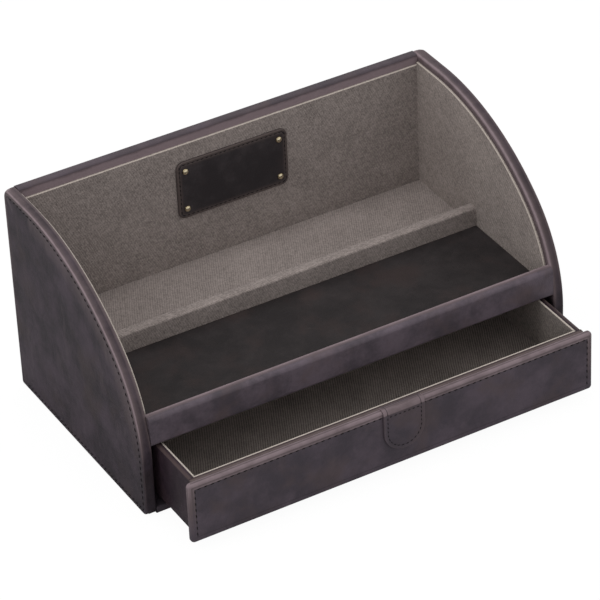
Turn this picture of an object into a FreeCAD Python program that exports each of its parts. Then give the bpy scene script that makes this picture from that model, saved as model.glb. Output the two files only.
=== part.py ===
"""Valet box with a drawer: leather over board, lined with cloth.

Frame: +Z up, the front faces -Y, X runs across. The origin is the middle of the
two cheeks' footprint, on the surface that the box stands on. Millimetres.
The drawer's pieces are drawn in their closed place, and their Placement then
pulls them out by drawer_open, which is the rest position.
"""
import FreeCAD, Part
import math
import os
import re
import Sketcher
from FreeCAD import Placement, Rotation, Vector

SIZES = (
    # the carcass
    ("box_width", 290.0, "over the outsides of the two cheeks"),
    ("box_depth", 160.0, "front edge of a cheek to the back face"),
    ("box_height", 142.0, "table to the top of the back"),
    ("wall", 7.0, "a board with leather on both faces"),
    ("hide", 1.0, "thickness of the covering leather"),
    ("lining", 1.4, "card with cloth glued on"),
    ("felt", 0.6, "felt under the box"),
    ("felt_inset", 3.0, "edge of the felt inside the outline"),
    ("brow_run", 131.0, "front-to-back length of the cheek's curve"),
    ("brow_foot", 38.0, "height where the cheek's curve starts"),
    ("brow_nose", 87.0, "radius of the curve's lower arc"),
    ("outer_round", 1.0, "rounding of a cheek's outer edge"),
    ("inner_round", 1.2, "rounding of the inner edge of the cheeks and the back"),
    ("toe_round", 4.5, "rounding of a cheek's front foot"),
    ("heel_round", 2.0, "rounding of a cheek's foot at the back"),
    ("crown_round", 3.5, "rounding of a cheek's top corner at the back"),
    ("back_round", 2.4, "rounding of the back's top edge"),
    ("left_drop", 2.4, "bare leather between the left cheek's rim and its lining"),
    ("right_drop", 4.5, "bare leather between the right cheek's rim and its lining"),
    ("back_drop", 6.5, "bare leather between the back's rim and its lining"),
    ("base_top", 5.0, "top of the leather at the mouth of the drawer bay"),
    ("base_turn", 20.0, "leather turned back over the base"),
    ("rail_setback", 1.0, "front rail behind the front edges of the cheeks"),
    ("rail_foot", 48.2, "underside of the front rail and the shelf"),
    ("rail_top", 67.3, "top of the front rail"),
    ("rail_round", 1.5, "rounding of the front rail's long edges"),
    ("shelf_board", 1.6, "thickness of the shelf board"),
    ("shelf_top", 53.8, "leather surface of the front shelf"),
    ("shelf_round", 0.8, "rounding of the shelf leather's long edges"),
    ("floor_cloth", 1.0, "cloth panel on the rear floor and in the drawer"),
    ("divider_setback", 84.6, "front edge of the cheeks to the divider"),
    ("divider_depth", 7.2, "thickness of the divider with its cloth"),
    ("divider_top", 66.5, "top of the divider"),
    ("divider_cloth", 1.0, "cloth round the divider"),
    ("divider_round", 1.4, "rounding of the divider's top edges"),
    ("bulkhead", 4.0, "board that closes the drawer bay at the back"),
    # what the drawer slides on
    ("runner_width", 8.1, "strip under an edge of the drawer"),
    ("guide_width", 3.9, "strip beside the drawer"),
    ("guide_top", 16.0, "top of the strip beside the drawer"),
    ("running_gap", 0.3, "play between the drawer and its runners"),
    ("bay_gap", 0.5, "play behind the closed drawer"),
    # the patch on the back, left plain
    ("patch_width", 77.0, "leather patch on the back lining"),
    ("patch_height", 40.0, "leather patch on the back lining"),
    ("patch_depth", 1.6, "leather patch on the back lining"),
    ("patch_round", 5.0, "corner radius of the patch"),
    ("patch_shift", 3.5, "patch to the right of the middle"),
    ("patch_middle", 103.9, "height of the middle of the patch"),
    ("rivet_span", 65.2, "between rivets, across"),
    ("rivet_rise", 26.6, "between rivets, up"),
    ("rivet_head", 4.2, "diameter of a domed head"),
    ("rivet_dome", 1.3, "height of a domed head"),
    ("rivet_shank", 1.6, "diameter of a shank"),
    # the drawer
    ("drawer_open", 43.0, "how far the drawer stands open at rest"),
    ("front_gap", 0.4, "play round the drawer's face panel"),
    ("front_top", 46.8, "top of the face panel"),
    ("front_round", 1.9, "rounding of the face panel's front edges"),
    ("front_corner", 3.5, "corner radius of the face panel"),
    ("seam_round", 0.7, "rounding of the face panel's back edges"),
    ("front_return", 9.0, "leather turned round the back of the face panel"),
    ("tray_gap", 4.4, "cheek to the side of the tray"),
    ("tray_foot", 9.1, "underside of the tray"),
    ("tray_top", 46.3, "top of the tray's walls"),
    ("tray_length", 83.5, "inside of the tray's front wall to the back of the tray"),
    ("tray_board", 2.4, "board of the tray's walls and bottom"),
    ("tray_hide", 0.8, "leather on the tray's walls"),
    ("tray_round", 2.0, "rounding of the tray's top outer edges"),
    # the pull tab
    ("tab_width", 28.0, "width of the pull tab"),
    ("tab_drop", 30.0, "top of the face panel to the tip of the tab"),
    ("tab_tip", 13.5, "corner radius at the tip of the tab"),
    ("tab_thick", 1.6, "the flap, two leathers sewn together"),
    ("strap_thick", 1.0, "the strap over the top edge, thinned to one leather"),
    ("tab_tail", 12.0, "end of the strap glued down behind the face panel"),
    ("tab_shift", 5.0, "tab to the right of the middle"),
)

doc = FreeCAD.newDocument("valet_box")
sheet = doc.addObject("Spreadsheet::Sheet", "Sizes")
for row, (alias, size, meaning) in enumerate(SIZES, start=1):
    sheet.set(f"A{row}", meaning)
    sheet.set(f"B{row}", str(size))
    sheet.setAlias(f"B{row}", alias)
doc.recompute()
ALIASES = {alias for alias, size, meaning in SIZES}

# Places that several pieces share, as expressions of the sheet's cells.
INSIDE = "(box_width / 2 - wall)"                    # inner face of a cheek
FRONT = "(-box_depth / 2)"                           # front edge of the cheeks
BACK = "(box_depth / 2)"                             # back face of the box
BACK_INSIDE = "(box_depth / 2 - wall)"               # inner face of the back wall
RAIL_FRONT = "(rail_setback - box_depth / 2)"        # front face of rail and drawer
RAIL_BACK = "(rail_setback - box_depth / 2 + wall)"  # back face of rail and tray's front wall
SHELF = "(rail_foot + shelf_board)"                  # top of the shelf board
LINED = "(box_width / 2 - wall - lining)"            # cloth face of a cheek's lining
LINED_BACK = "(box_depth / 2 - wall - lining)"       # cloth face of the back lining
DIVIDER = "(divider_setback - box_depth / 2)"        # front face of the divider
DIVIDER_BACK = "(divider_setback - box_depth / 2 + divider_depth)"
BASE_BOARD = "(base_top - hide)"                     # top of the base board
FRONT_SIDE = "(box_width / 2 - wall - front_gap)"    # end of the face panel
FRONT_FOOT = "(base_top + front_gap)"                # underside of the face panel
SEAM = "(rail_setback - box_depth / 2 + wall - tray_board - tray_hide)"  # back of the face panel
TRAY_SIDE = "(box_width / 2 - wall - tray_gap)"      # leather face of the tray's side
TRAY_BOARD = "(box_width / 2 - wall - tray_gap - tray_hide)"
TRAY_INSIDE = "(box_width / 2 - wall - tray_gap - tray_hide - tray_board)"
TRAY_LINED = "(box_width / 2 - wall - tray_gap - tray_hide - tray_board - lining)"
TRAY_BACK = "(rail_setback - box_depth / 2 + wall + tray_length)"
TRAY_FLOOR = "(tray_foot + tray_board)"              # top of the tray's bottom board
TAB_X = ("(tab_shift - tab_width / 2)", "(tab_shift + tab_width / 2)")
TAIL_Z = ("(front_top - tab_tail)", "front_top")
BAY_END = "(rail_setback - box_depth / 2 + wall + tray_length + bay_gap)"


def bound(text):
    """An expression with the sheet's name in front of every alias."""
    return re.sub(r"[a-z_]+", lambda word: "Sizes." + word[0] if word[0] in ALIASES else word[0], text)


def cell(alias):
    return float(sheet.get(alias))


def bind(thing, **expressions):
    """Bind properties, written with __ for a dot, to expressions of the sheet."""
    for name, text in expressions.items():
        thing.setExpression(name.replace("__", "."), bound(text))


def bind_box(box, x, y, z):
    """Give a box its low and high face along each axis."""
    bind(box, Length=f"({x[1]}) - ({x[0]})", Width=f"({y[1]}) - ({y[0]})", Height=f"({z[1]}) - ({z[0]})")
    bind(box, Placement__Base__x=x[0], Placement__Base__y=y[0], Placement__Base__z=z[0])


pieces = []


def named(thing, label, in_drawer=False):
    """Enter a finished piece, pulled out with the drawer if it belongs to it."""
    thing.Label = label
    if in_drawer:
        bind(thing, Placement__Base__y="-drawer_open")
    pieces.append(thing)
    return thing


def new_body(label):
    return doc.addObject("PartDesign::Body", label + "_body")


def origin_plane(body, role):
    return next(plane for plane in body.Origin.OriginFeatures if plane.Role == role)


def slab(label, x, y, z, in_drawer=False):
    """A plain board or panel between two faces along each axis."""
    body = new_body(label)
    box = body.newObject("PartDesign::AdditiveBox", label + "_box")
    bind_box(box, x, y, z)
    return named(body, label, in_drawer)


def cut_box(body, x, y, z):
    """Take a box out of a body and check that it went."""
    doc.recompute()
    before = body.Shape.Volume
    box = body.newObject("PartDesign::SubtractiveBox", body.Name + "_cut")
    bind_box(box, x, y, z)
    doc.recompute()
    if not body.Shape.Volume < before:
        raise RuntimeError(f"nothing was cut from {body.Name}")


def edge_names(feature, wanted):
    """The edges that a test picks by the middle of their two ends and the way from one to the other."""
    names = []
    for number, edge in enumerate(feature.Shape.Edges, start=1):
        start, end = edge.valueAt(edge.FirstParameter), edge.valueAt(edge.LastParameter)
        if wanted((start + end) / 2, end - start):
            names.append(f"Edge{number}")
    if not names:
        raise RuntimeError(f"{feature.Name} has no such edge")
    return names


def draw_over(label, wrap, board):
    """Leather as the solid wrap less the board inside it."""
    leather = doc.addObject("Part::Cut", label + "_cover")
    leather.Base = wrap
    leather.Tool = board
    return named(leather, label)


def round_edges(body, radius, wanted):
    doc.recompute()
    tip = body.Tip
    fillet = body.newObject("PartDesign::Fillet", body.Name + "_round")
    fillet.Base = (tip, edge_names(tip, wanted))
    bind(fillet, Radius=radius)


def same(value, other):
    return abs(value - other) < 0.01


def along_x_at(y=None, z=None):
    """A test for edges that run across the box at this depth and height."""
    def wanted(middle, along):
        here = (y is None or same(middle.y, y)) and (z is None or same(middle.z, z))
        return here and not same(along.x, 0)
    return wanted


def cheek_outline(body, plane_x, inset=None):
    """The cheek seen from the side: upright back, level top and a brow of two arcs.

    The upper arc leaves the level top, and the lower one, of a smaller radius, ends in
    the upright front edge. inset is the alias of a size that draws the outline that
    much smaller at the front, the brow, the top and the back.
    """
    sketch = body.newObject("Sketcher::SketchObject", body.Name + "_outline")
    sketch.AttachmentSupport = [(origin_plane(body, "YZ_Plane"), "")]
    sketch.MapMode = "FlatFace"
    bind(sketch, AttachmentOffset__Base__z=plane_x)
    less = cell(inset) if inset else 0.0
    shrink = f" - {inset}" if inset else ""
    front = -cell("box_depth") / 2 + less
    back = cell("box_depth") / 2 - less
    top = cell("box_height") - less
    foot = cell("felt")

    nose_radius = cell("brow_nose") - less
    nose = Vector(front + nose_radius, cell("brow_foot"), 0)
    crest_y = cell("brow_run") - cell("box_depth") / 2
    run, rise = crest_y - front, top - nose.y
    crest_radius = ((run - nose_radius) ** 2 + rise ** 2 - nose_radius ** 2) / (2 * (rise - nose_radius))
    crest = Vector(crest_y, top - crest_radius, 0)
    join = math.atan2(nose.y - crest.y, nose.x - crest.x)
    upward = Vector(0, 0, 1)
    corners = [Vector(front, foot, 0), Vector(back, foot, 0), Vector(back, top, 0)]
    bottom = sketch.addGeometry(Part.LineSegment(corners[0], corners[1]))
    rear = sketch.addGeometry(Part.LineSegment(corners[1], corners[2]))
    crown = sketch.addGeometry(Part.LineSegment(corners[2], Vector(crest_y, top, 0)))
    upper = sketch.addGeometry(Part.ArcOfCircle(Part.Circle(crest, upward, crest_radius), math.pi / 2, join))
    lower = sketch.addGeometry(Part.ArcOfCircle(Part.Circle(nose, upward, nose_radius), join, math.pi))
    face = sketch.addGeometry(Part.LineSegment(Vector(front, nose.y, 0), corners[0]))

    start, end, origin = 1, 2, -1
    for first, second in ((bottom, rear), (rear, crown), (face, bottom)):
        sketch.addConstraint(Sketcher.Constraint("Coincident", first, end, second, start))
    for first, second in ((crown, upper), (upper, lower), (lower, face)):
        sketch.addConstraint(Sketcher.Constraint("Tangent", first, end, second, start))
    for line, way in ((bottom, "Horizontal"), (rear, "Vertical"), (crown, "Horizontal"), (face, "Vertical")):
        sketch.addConstraint(Sketcher.Constraint(way, line))
    dimensions = (
        ("front", "DistanceX", (bottom, start, origin, start), -front, f"box_depth / 2{shrink}"),
        ("back", "DistanceX", (origin, start, bottom, end), back, f"box_depth / 2{shrink}"),
        ("foot", "DistanceY", (origin, start, bottom, start), foot, "felt"),
        ("top", "DistanceY", (origin, start, rear, end), top, f"box_height{shrink}"),
        ("brow_start", "DistanceX", (origin, start, crown, end), crest_y, "brow_run - box_depth / 2"),
        ("brow_foot", "DistanceY", (origin, start, face, start), nose.y, "brow_foot"),
        ("nose_radius", "Radius", (lower,), nose_radius, f"brow_nose{shrink}"),
    )
    for name, kind, points, value, text in dimensions:
        index = sketch.addConstraint(Sketcher.Constraint(kind, *points, value))
        sketch.renameConstraint(index, name)
        sketch.setExpression(f"Constraints.{name}", bound(text))
    return sketch


def pad_along_x(body, sketch, length):
    pad = body.newObject("PartDesign::Pad", body.Name + "_pad")
    pad.Profile = sketch
    bind(pad, Length=length)
    sketch.Visibility = False
    doc.recompute()
    return pad


def cheek(side, low_x):
    """One cheek: a board and the leather drawn over both its faces and all round its edge."""
    def round_corners(body, inset=None):
        """Round the two feet and the top corner at the back of a cheek, or of one drawn smaller."""
        less = cell(inset) if inset else 0.0
        shrink = f" - {inset}" if inset else ""
        half_depth = cell("box_depth") / 2 - less
        foot, top = cell("felt"), cell("box_height") - less
        round_edges(body, f"toe_round{shrink}", along_x_at(y=-half_depth, z=foot))
        round_edges(body, f"heel_round{shrink}", along_x_at(y=half_depth, z=foot))
        round_edges(body, f"crown_round{shrink}", along_x_at(y=half_depth, z=top))

    board = new_body(f"{side}_cheek_board")
    pad_along_x(board, cheek_outline(board, f"{low_x} + hide", "hide"), "wall - 2 * hide")
    round_corners(board, "hide")
    named(board, f"{side}_cheek_board")

    wrap = new_body(f"{side}_cheek_wrap")
    pad_along_x(wrap, cheek_outline(wrap, low_x), "wall")
    round_corners(wrap)
    outer_x = cell("box_width") / 2
    inner_x = outer_x - cell("wall")
    round_edges(wrap, "outer_round", lambda middle, along: same(abs(middle.x), outer_x) and same(along.x, 0))
    round_edges(wrap, "inner_round", lambda middle, along: same(abs(middle.x), inner_x) and same(along.x, 0))
    draw_over(f"{side}_cheek_leather", wrap, board)


def carcass():
    cheek("left", "(-box_width / 2)")
    cheek("right", INSIDE)
    across = (f"-{INSIDE}", INSIDE)

    slab("back_board", across, (f"{BACK_INSIDE} + hide", f"{BACK} - hide"), ("felt", "box_height - hide"))
    cover = slab("back_leather", across, (BACK_INSIDE, BACK), ("felt", "box_height"))
    back, top = cell("box_depth") / 2, cell("box_height")
    round_edges(cover, "back_round", along_x_at(y=back, z=top))
    round_edges(cover, "inner_round", along_x_at(y=back - cell("wall"), z=top))
    cut_box(cover, across, (f"{BACK_INSIDE} + hide", f"{BACK} - hide"), ("felt", "box_height - hide"))

    slab("base_board", across, (f"{FRONT} + hide", BACK_INSIDE), ("felt", BASE_BOARD))
    lip = slab("base_leather", across, (FRONT, f"{FRONT} + base_turn"), ("felt", "base_top"))
    front = -cell("box_depth") / 2
    round_edges(lip, "hide", along_x_at(y=front, z=cell("base_top")))
    cut_box(lip, across, (f"{FRONT} + hide", f"{FRONT} + base_turn"), ("felt", BASE_BOARD))
    felt_x = "(box_width / 2 - felt_inset)"
    felt_y = "(box_depth / 2 - felt_inset)"
    slab("base_felt", (f"-{felt_x}", felt_x), (f"-{felt_y}", felt_y), ("0", "felt"))

    rail_core = (f"{RAIL_FRONT} + hide", f"{RAIL_BACK} - hide"), ("rail_foot + hide", "rail_top - hide")
    slab("front_rail_board", across, *rail_core)
    rail = slab("front_rail_leather", across, (RAIL_FRONT, RAIL_BACK), ("rail_foot", "rail_top"))
    rail_back = front + cell("rail_setback") + cell("wall")
    rail_foot = cell("rail_foot")

    def on_rail_rim(middle, along):
        """The rail's long edges, but the one that the shelf board butts against."""
        return not same(along.x, 0) and not (same(middle.y, rail_back) and same(middle.z, rail_foot))

    round_edges(rail, "rail_round", on_rail_rim)
    cut_box(rail, across, *rail_core)

    slab("shelf_board", across, (RAIL_BACK, BACK_INSIDE), ("rail_foot", SHELF))
    slab("bay_bulkhead", across, (BAY_END, f"{BAY_END} + bulkhead"), (BASE_BOARD, "rail_foot"))
    guide_side = f"({INSIDE} - guide_width)"
    runner_side = f"({INSIDE} - guide_width - runner_width)"
    strip_y = (f"{FRONT} + base_turn", BAY_END)
    runner_z = (BASE_BOARD, "tray_foot - running_gap")
    slab("left_drawer_runner", (f"-{guide_side}", f"-{runner_side}"), strip_y, runner_z)
    slab("right_drawer_runner", (runner_side, guide_side), strip_y, runner_z)
    slab("left_drawer_guide", (f"-{INSIDE}", f"-{guide_side}"), strip_y, (BASE_BOARD, "guide_top"))
    slab("right_drawer_guide", (guide_side, INSIDE), strip_y, (BASE_BOARD, "guide_top"))


def linings():
    """Cloth-covered panels inside the carcass, and the divider between tray and slot."""
    for side, low_x in (("left", f"-{INSIDE}"), ("right", LINED)):
        panel = new_body(f"{side}_lining")
        pad_along_x(panel, cheek_outline(panel, low_x, f"{side}_drop"), "lining")
        past = "2 * lining"
        x = (f"{low_x} - {past}", f"{low_x} + {past}")
        cut_box(panel, x, (f"{FRONT} - wall", f"{BACK} + wall"), ("0", SHELF))
        cut_box(panel, x, (f"{FRONT} - wall", RAIL_BACK), ("0", "box_height"))
        cut_box(panel, x, (LINED_BACK, f"{BACK} + wall"), ("0", "box_height"))
        named(panel, f"{side}_lining")
    panel_z = (SHELF, "box_height - back_drop")
    slab("back_lining", (f"-{INSIDE}", INSIDE), (LINED_BACK, BACK_INSIDE), panel_z)

    between = (f"-{LINED}", LINED)
    slab("rear_floor_lining", between, (DIVIDER_BACK, LINED_BACK), (SHELF, f"{SHELF} + floor_cloth"))
    pad_y = (RAIL_BACK, DIVIDER)
    core = (f"{RAIL_BACK} + hide", f"{DIVIDER} - hide"), (SHELF, "shelf_top - hide")
    slab("shelf_pad", between, *core)
    leather = slab("shelf_leather", between, pad_y, (SHELF, "shelf_top"))
    round_edges(leather, "shelf_round", along_x_at(z=cell("shelf_top")))
    cut_box(leather, between, *core)

    core_y = (f"{DIVIDER} + divider_cloth", f"{DIVIDER_BACK} - divider_cloth")
    core_z = (SHELF, "divider_top - divider_cloth")
    slab("divider_board", between, core_y, core_z)
    cloth = slab("divider_cloth", between, (DIVIDER, DIVIDER_BACK), (SHELF, "divider_top"))
    round_edges(cloth, "divider_round", along_x_at(z=cell("divider_top")))
    cut_box(cloth, between, core_y, core_z)


def patch_and_rivets():
    """A bare leather patch held to the back lining by four domed rivets."""
    left, foot = "(patch_shift - patch_width / 2)", "(patch_middle - patch_height / 2)"
    y = (f"{LINED_BACK} - patch_depth", LINED_BACK)
    patch = slab("leather_patch", (left, f"{left} + patch_width"), y, (foot, f"{foot} + patch_height"))
    round_edges(patch, "patch_round", lambda middle, along: not same(along.y, 0))
    face_y = cell("box_depth") / 2 - cell("wall") - cell("lining") - cell("patch_depth")
    low_x = cell("patch_shift") - cell("rivet_span") / 2
    low = Vector(low_x, face_y, cell("patch_middle") - cell("rivet_rise") / 2)
    head, dome, shank = cell("rivet_head") / 2, cell("rivet_dome"), cell("rivet_shank") / 2
    ball = (head * head + dome * dome) / (2 * dome)
    into_wall = Vector(0, 1, 0)
    heads = []
    for column in range(2):
        for line in range(2):
            place = low + Vector(column * cell("rivet_span"), 0, line * cell("rivet_rise"))
            sphere = Part.makeSphere(ball, place + into_wall * (ball - dome))
            outside = Part.makeBox(4 * ball, 4 * ball, 4 * ball, place + Vector(-2 * ball, 0, -2 * ball))
            stem = Part.makeCylinder(shank, cell("patch_depth"), place, into_wall)
            heads.append(sphere.cut(outside).fuse(stem))
            hole = patch.newObject("PartDesign::SubtractiveCylinder", f"rivet_hole_{column}_{line}")
            hole.Placement = Placement(place, Rotation(Vector(0, 0, 1), into_wall))
            bind(hole, Radius="rivet_shank / 2", Height="patch_depth")
            bind(hole, Placement__Base__x=f"patch_shift + ({column} - 0.5) * rivet_span")
            bind(hole, Placement__Base__z=f"patch_middle + ({line} - 0.5) * rivet_rise")
    rivets = doc.addObject("Part::Feature", "rivets")
    rivets.Shape = Part.makeCompound(heads)
    named(rivets, "patch_rivets")


def drawer():
    front_x = (f"-{FRONT_SIDE}", FRONT_SIDE)
    core = (f"-{FRONT_SIDE} + hide", f"{FRONT_SIDE} - hide")
    core_y = (f"{RAIL_FRONT} + hide", f"{SEAM} - hide")
    core_z = (f"{FRONT_FOOT} + hide", "front_top - hide")
    board = slab("drawer_front_board", core, core_y, core_z, in_drawer=True)
    round_edges(board, "front_corner - hide", lambda middle, along: not same(along.y, 0))
    wrap = new_body("drawer_front_wrap")
    box = wrap.newObject("PartDesign::AdditiveBox", "drawer_front_box")
    bind_box(box, front_x, (RAIL_FRONT, SEAM), (FRONT_FOOT, "front_top"))
    bind(wrap, Placement__Base__y="-drawer_open")
    face_y = -cell("box_depth") / 2 + cell("rail_setback")
    tray_front = face_y + cell("wall")
    seam_y = tray_front - cell("tray_board") - cell("tray_hide")
    round_edges(wrap, "front_corner", lambda middle, along: not same(along.y, 0))
    round_edges(wrap, "front_round", lambda middle, along: same(middle.y, face_y))
    round_edges(wrap, "seam_round", lambda middle, along: same(middle.y, seam_y))
    window_x = (f"-{FRONT_SIDE} + front_return", f"{FRONT_SIDE} - front_return")
    window_z = (f"{FRONT_FOOT} + front_return", "front_top - front_return")
    cut_box(wrap, window_x, (f"{SEAM} - hide", SEAM), window_z)
    cut_box(wrap, TAB_X, (f"{SEAM} - strap_thick", SEAM), TAIL_Z)
    draw_over("drawer_front_leather", wrap, board)

    in_drawer = True
    full_y = (RAIL_BACK, TRAY_BACK)
    tray_y = (RAIL_BACK, f"{TRAY_BACK} - tray_hide")
    slab("drawer_bottom", (f"-{TRAY_BOARD}", TRAY_BOARD), tray_y, ("tray_foot", TRAY_FLOOR), in_drawer)
    wall_z = (TRAY_FLOOR, "tray_top - tray_hide")
    leather_z = ("tray_foot", "tray_top")
    lining_z = (TRAY_FLOOR, "tray_top")
    under_leather = ("tray_foot", "tray_top - tray_hide")
    back_board = f"{TRAY_BACK} - tray_hide - tray_board"
    lined_y = (f"{RAIL_BACK} + lining", f"{back_board} - lining")
    tray_top = cell("tray_top")
    tray_side = cell("box_width") / 2 - cell("wall") - cell("tray_gap")
    tray_back = tray_front + cell("tray_length")

    def on_front_rim(middle, along):
        return same(middle.z, tray_top) and not same(middle.y, tray_front)

    def on_side_rim(middle, along):
        return same(middle.z, tray_top) and same(abs(middle.x), tray_side)

    core_x = (f"-{TRAY_BOARD}", TRAY_BOARD)
    core_y = (f"{SEAM} + tray_hide", RAIL_BACK)
    core_z = ("tray_foot + tray_hide", "tray_top - tray_hide")
    slab("drawer_wall_board", core_x, core_y, core_z, in_drawer)
    skin = slab("drawer_wall_leather", (f"-{TRAY_SIDE}", TRAY_SIDE), (SEAM, RAIL_BACK), leather_z, in_drawer)
    round_edges(skin, "tray_hide", on_front_rim)
    cut_box(skin, core_x, core_y, core_z)

    for side, sign in (("left", "-"), ("right", "")):
        layers = (TRAY_SIDE, TRAY_BOARD, TRAY_INSIDE, TRAY_LINED)
        outer, board, inner, lined = (sign + place for place in layers)
        rising = slice(None) if side == "left" else slice(None, None, -1)
        slab(f"drawer_{side}_side", (board, inner)[rising], tray_y, wall_z, in_drawer)
        skin = slab(f"drawer_{side}_leather", (outer, inner)[rising], full_y, leather_z, in_drawer)
        round_edges(skin, "tray_round", on_side_rim)
        cut_box(skin, (board, inner)[rising], tray_y, under_leather)
        slab(f"drawer_{side}_lining", (inner, lined)[rising], lined_y, lining_z, in_drawer)

    inside = (f"-{TRAY_INSIDE}", TRAY_INSIDE)
    back_y = (back_board, f"{TRAY_BACK} - tray_hide")
    slab("drawer_back", inside, back_y, wall_z, in_drawer)
    skin = slab("drawer_back_leather", inside, (back_board, TRAY_BACK), leather_z, in_drawer)
    round_edges(skin, "tray_round", along_x_at(y=tray_back, z=tray_top))
    cut_box(skin, inside, back_y, under_leather)
    slab("drawer_back_lining", inside, (f"{back_board} - lining", back_board), lining_z, in_drawer)
    slab("drawer_front_lining", inside, (RAIL_BACK, f"{RAIL_BACK} + lining"), lining_z, in_drawer)
    floor_z = (TRAY_FLOOR, f"{TRAY_FLOOR} + floor_cloth")
    slab("drawer_floor_lining", (f"-{TRAY_LINED}", TRAY_LINED), lined_y, floor_z, in_drawer)


def pull_tab():
    """A leather tab: a strap from behind the face panel over its top, and the flap that hangs from it."""
    strap_z = ("front_top", "front_top + strap_thick")
    strap = slab("pull_tab_strap", TAB_X, (RAIL_FRONT, SEAM), strap_z, in_drawer=True)
    tail = strap.newObject("PartDesign::AdditiveBox", "pull_tab_tail")
    bind_box(tail, TAB_X, (f"{SEAM} - strap_thick", SEAM), TAIL_Z)
    strap_top = cell("front_top") + cell("strap_thick")
    round_edges(strap, "0.8 * strap_thick", along_x_at(z=strap_top))
    flap_back = f"({RAIL_FRONT} - running_gap)"
    flap_y = (f"{flap_back} - tab_thick", flap_back)
    flap = slab("pull_tab_flap", TAB_X, flap_y, ("front_top - tab_drop", "front_top"), in_drawer=True)
    tip = cell("front_top") - cell("tab_drop")
    flap_front = -cell("box_depth") / 2 + cell("rail_setback") - cell("running_gap") - cell("tab_thick")
    round_edges(flap, "tab_tip", lambda middle, along: same(middle.z, tip) and not same(along.y, 0))
    round_edges(flap, "0.8 * tab_thick", along_x_at(y=flap_front, z=cell("front_top")))


def check_document():
    """Stop if a feature failed or a piece has no sound shape."""
    doc.recompute()
    for thing in doc.Objects:
        bad = [state for state in thing.State if state in ("Invalid", "Error")]
        if bad:
            raise RuntimeError(f"{thing.Label} is {bad}")
    for piece in pieces:
        if piece.Shape.isNull() or not piece.Shape.isValid():
            raise RuntimeError(f"{piece.Label} has no sound shape")


carcass()
linings()
patch_and_rivets()
drawer()
pull_tab()
check_document()
os.makedirs("parts", exist_ok=True)
for piece in pieces:
    piece.Shape.exportStep(f"parts/{piece.Label}.step")
    box = piece.Shape.BoundBox
    print(f"{piece.Label:24s} {len(piece.Shape.Solids)} solid  x {box.XMin:8.2f} {box.XMax:8.2f}"
          f"  y {box.YMin:8.2f} {box.YMax:8.2f}  z {box.ZMin:7.2f} {box.ZMax:7.2f}")
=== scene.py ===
"""Dress the valet box: leather covers with their stitching, cloth linings, patch and pull tab.

Each cover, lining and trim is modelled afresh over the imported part, in metres and in
the part's own frame, and takes its place from the boxes of the part's nodes. The
boards, the strips, the floor cloths and the felt keep the part's own meshes.
"""

import math

import bmesh
import bpy
from mathutils import Matrix, Vector


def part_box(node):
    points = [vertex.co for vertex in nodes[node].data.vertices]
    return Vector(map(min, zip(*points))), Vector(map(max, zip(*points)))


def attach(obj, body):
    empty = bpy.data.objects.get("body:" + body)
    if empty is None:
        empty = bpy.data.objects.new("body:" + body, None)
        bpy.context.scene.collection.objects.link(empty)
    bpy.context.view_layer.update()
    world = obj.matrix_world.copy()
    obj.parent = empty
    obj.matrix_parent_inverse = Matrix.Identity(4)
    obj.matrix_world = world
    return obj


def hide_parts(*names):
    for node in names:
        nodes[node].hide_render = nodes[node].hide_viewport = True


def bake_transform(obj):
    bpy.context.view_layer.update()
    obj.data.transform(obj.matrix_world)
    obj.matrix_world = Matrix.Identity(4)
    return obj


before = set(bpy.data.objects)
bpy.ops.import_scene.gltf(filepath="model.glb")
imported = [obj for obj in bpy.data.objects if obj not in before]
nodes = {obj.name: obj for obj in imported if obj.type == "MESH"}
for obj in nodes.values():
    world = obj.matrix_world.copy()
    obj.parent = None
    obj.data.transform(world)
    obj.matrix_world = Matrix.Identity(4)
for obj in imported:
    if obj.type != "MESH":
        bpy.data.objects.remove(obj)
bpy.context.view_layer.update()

MM = 0.001
ACROSS, DEEP, UP = Vector((1, 0, 0)), Vector((0, 1, 0)), Vector((0, 0, 1))


# ---------------------------------------------------------------- materials


class Value:
    """A socket that takes part in Python expressions: each operator adds a Math node."""

    def __init__(self, paint, socket):
        self.paint = paint
        self.socket = socket

    def math(self, operation, *others):
        return self.paint.math(operation, self, *others)

    def __add__(self, other):
        return self.math("ADD", other)

    def __sub__(self, other):
        return self.math("SUBTRACT", other)

    def __mul__(self, other):
        return self.math("MULTIPLY", other)

    def __rsub__(self, other):
        return self.paint.math("SUBTRACT", other, self)

    __radd__ = __add__
    __rmul__ = __mul__

    def wave(self, period):
        """A smooth wave of that period, from 0 to 1."""
        return (self * (2 * math.pi / period)).math("SINE") * 0.5 + 0.5

    def between(self, low, high):
        """0 below low, 1 above high and a smooth step between them."""
        settings = {"interpolation_type": "SMOOTHSTEP"}
        sockets = {"Value": self, "From Min": low, "From Max": high}
        return self.paint.node("ShaderNodeMapRange", settings, sockets)


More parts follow.
